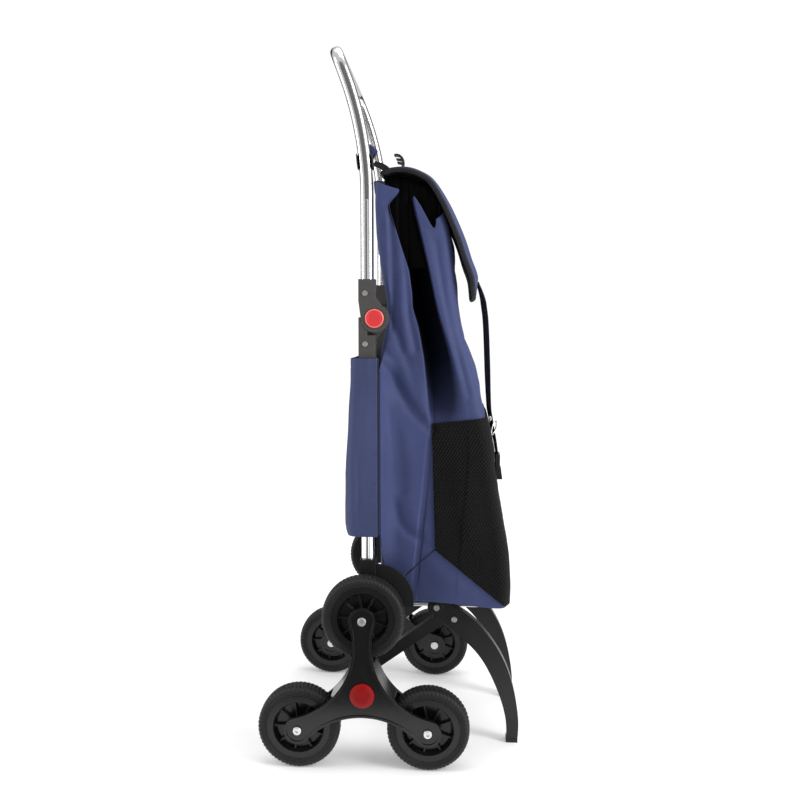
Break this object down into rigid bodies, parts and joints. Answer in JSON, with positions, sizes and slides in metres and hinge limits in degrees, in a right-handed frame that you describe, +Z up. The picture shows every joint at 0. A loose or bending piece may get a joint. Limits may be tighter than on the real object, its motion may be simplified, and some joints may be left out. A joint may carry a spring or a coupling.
{
  "type": "shopping trolley",
  "caption": "Folding stair-climbing shopping trolley with a soft lidded bag, U-shaped handle, curved front legs and a three-wheel cluster on each side.",
  "frame": {"origin": "middle of the footprint, on the floor", "axes": "+X to the trolley's left, front of the bag towards -Y, +Z up"},
  "size_m": [0.41, 0.371, 1.0051],
  "materials": {
    "aluminium_tube": "polished",
    "steel": "bright zinc",
    "hinge_plastic": "fine grain",
    "black_plastic": "fine grain",
    "rim_plastic": "satin",
    "red_plastic": "gloss",
    "tyre_rubber": "moulded tread",
    "foot_rubber": "matte",
    "navy_cloth": "woven polyester",
    "black_mesh": "diagonal mesh",
    "black_webbing": "woven webbing",
    "stiff_board": "matte"
  },
  "bodies": {
    "frame": {"lower_tube_left": "aluminium_tube", "lower_tube_right": "aluminium_tube", "hinge_base_left": "hinge_plastic", "hinge_base_right": "hinge_plastic", "axle": "steel", "axle_blocks": "black_plastic", "fold_rod": "steel", "hinge_pins": "steel", "wheel_guard_left": "black_plastic", "wheel_guard_right": "black_plastic", "frame_screws": "steel", "bag_shell": "navy_cloth", "mesh_wrap": "black_mesh", "back_sleeve": "navy_cloth", "buckle_socket": "black_plastic", "zip_pull": "steel"},
    "handle": {"handle_tube": "aluminium_tube", "hinge_head_left": "hinge_plastic", "hinge_head_right": "hinge_plastic", "head_screws": "steel", "button_springs": "steel", "tube_loops": "black_webbing"},
    "lid": {"lid_flap": "navy_cloth", "lid_buckle": "black_plastic", "cart_hook": "black_plastic", "strap_root": "black_webbing"},
    "strap": {"lid_strap": "black_webbing", "buckle_insert": "black_plastic"},
    "base": {"shelf_tube": "aluminium_tube", "shelf_knuckles": "black_plastic", "base_board": "stiff_board", "leg_left": "black_plastic", "leg_right": "black_plastic", "strut_left": "black_plastic", "strut_right": "black_plastic", "axle_clips": "black_plastic", "leg_bolts": "steel", "foot_pads": "foot_rubber"},
    "button_left": {"button_left": "red_plastic"},
    "button_right": {"button_right": "red_plastic"},
    "wheel_set_left": {"spider_outer_left": "black_plastic", "spider_inner_left": "black_plastic", "hub_cap_left": "red_plastic", "wheel_bolts_left": "steel"},
    "wheel_top_left": {"rim_top_left": "rim_plastic", "tyre_top_left": "tyre_rubber"},
    "wheel_rear_left": {"rim_rear_left": "rim_plastic", "tyre_rear_left": "tyre_rubber"},
    "wheel_front_left": {"rim_front_left": "rim_plastic", "tyre_front_left": "tyre_rubber"},
    "wheel_set_right": {"spider_outer_right": "black_plastic", "spider_inner_right": "black_plastic", "hub_cap_right": "red_plastic", "wheel_bolts_right": "steel"},
    "wheel_top_right": {"rim_top_right": "rim_plastic", "tyre_top_right": "tyre_rubber"},
    "wheel_rear_right": {"rim_rear_right": "rim_plastic", "tyre_rear_right": "tyre_rubber"},
    "wheel_front_right": {"rim_front_right": "rim_plastic", "tyre_front_right": "tyre_rubber"}
  },
  "joints": [
    {"name": "handle_fold", "type": "hinge", "parent": "frame", "child": "handle", "pos_m": [0, 0.02275, 0.6294], "axis": [1, 0, 0], "range_deg": [0, 155]},
    {"name": "base_fold", "type": "hinge", "parent": "frame", "child": "base", "pos_m": [0, 0.03375, 0.204], "axis": [-1, 0, 0], "range_deg": [0, 88], "deforming": ["bag_shell", "mesh_wrap"]},
    {"name": "lid_open", "type": "hinge", "parent": "frame", "child": "lid", "pos_m": [0, 0.01475, 0.828], "axis": [-1, 0, 0], "range_deg": [0, 110]},
    {"name": "strap_swing", "type": "hinge", "parent": "lid", "child": "strap", "pos_m": [0, -0.13175, 0.646], "axis": [1, 0, 0], "range_deg": [0, 110]},
    {"name": "button_left_press", "type": "slide", "parent": "handle", "child": "button_left", "axis": [-1, 0, 0], "range_m": [0, 0.003], "stiffness_N_per_m": 800, "springref_m": -0.002, "deforming": ["button_springs"]},
    {"name": "button_right_press", "type": "slide", "parent": "handle", "child": "button_right", "axis": [1, 0, 0], "range_m": [0, 0.003], "stiffness_N_per_m": 800, "springref_m": -0.002, "deforming": ["button_springs"]},
    {"name": "wheel_set_left_spin", "type": "hinge", "parent": "frame", "child": "wheel_set_left", "pos_m": [0.175, 0.03675, 0.1105], "axis": [1, 0, 0], "continuous": true},
    {"name": "wheel_top_left_spin", "type": "hinge", "parent": "wheel_set_left", "child": "wheel_top_left", "pos_m": [0.175, 0.03675, 0.2155], "axis": [1, 0, 0], "continuous": true},
    {"name": "wheel_rear_left_spin", "type": "hinge", "parent": "wheel_set_left", "child": "wheel_rear_left", "pos_m": [0.175, 0.12768, 0.058], "axis": [1, 0, 0], "continuous": true},
    {"name": "wheel_front_left_spin", "type": "hinge", "parent": "wheel_set_left", "child": "wheel_front_left", "pos_m": [0.175, -0.05418, 0.058], "axis": [1, 0, 0], "continuous": true},
    {"name": "wheel_set_right_spin", "type": "hinge", "parent": "frame", "child": "wheel_set_right", "pos_m": [-0.175, 0.03675, 0.1105], "axis": [1, 0, 0], "continuous": true},
    {"name": "wheel_top_right_spin", "type": "hinge", "parent": "wheel_set_right", "child": "wheel_top_right", "pos_m": [-0.175, 0.03675, 0.2155], "axis": [1, 0, 0], "continuous": true},
    {"name": "wheel_rear_right_spin", "type": "hinge", "parent": "wheel_set_right", "child": "wheel_rear_right", "pos_m": [-0.175, 0.12768, 0.058], "axis": [1, 0, 0], "continuous": true},
    {"name": "wheel_front_right_spin", "type": "hinge", "parent": "wheel_set_right", "child": "wheel_front_right", "pos_m": [-0.175, -0.05418, 0.058], "axis": [1, 0, 0], "continuous": true}
  ],
  "couplings": [
    {"joint": "strap_swing", "follows": "lid_open", "ratio": 1}
  ]
}
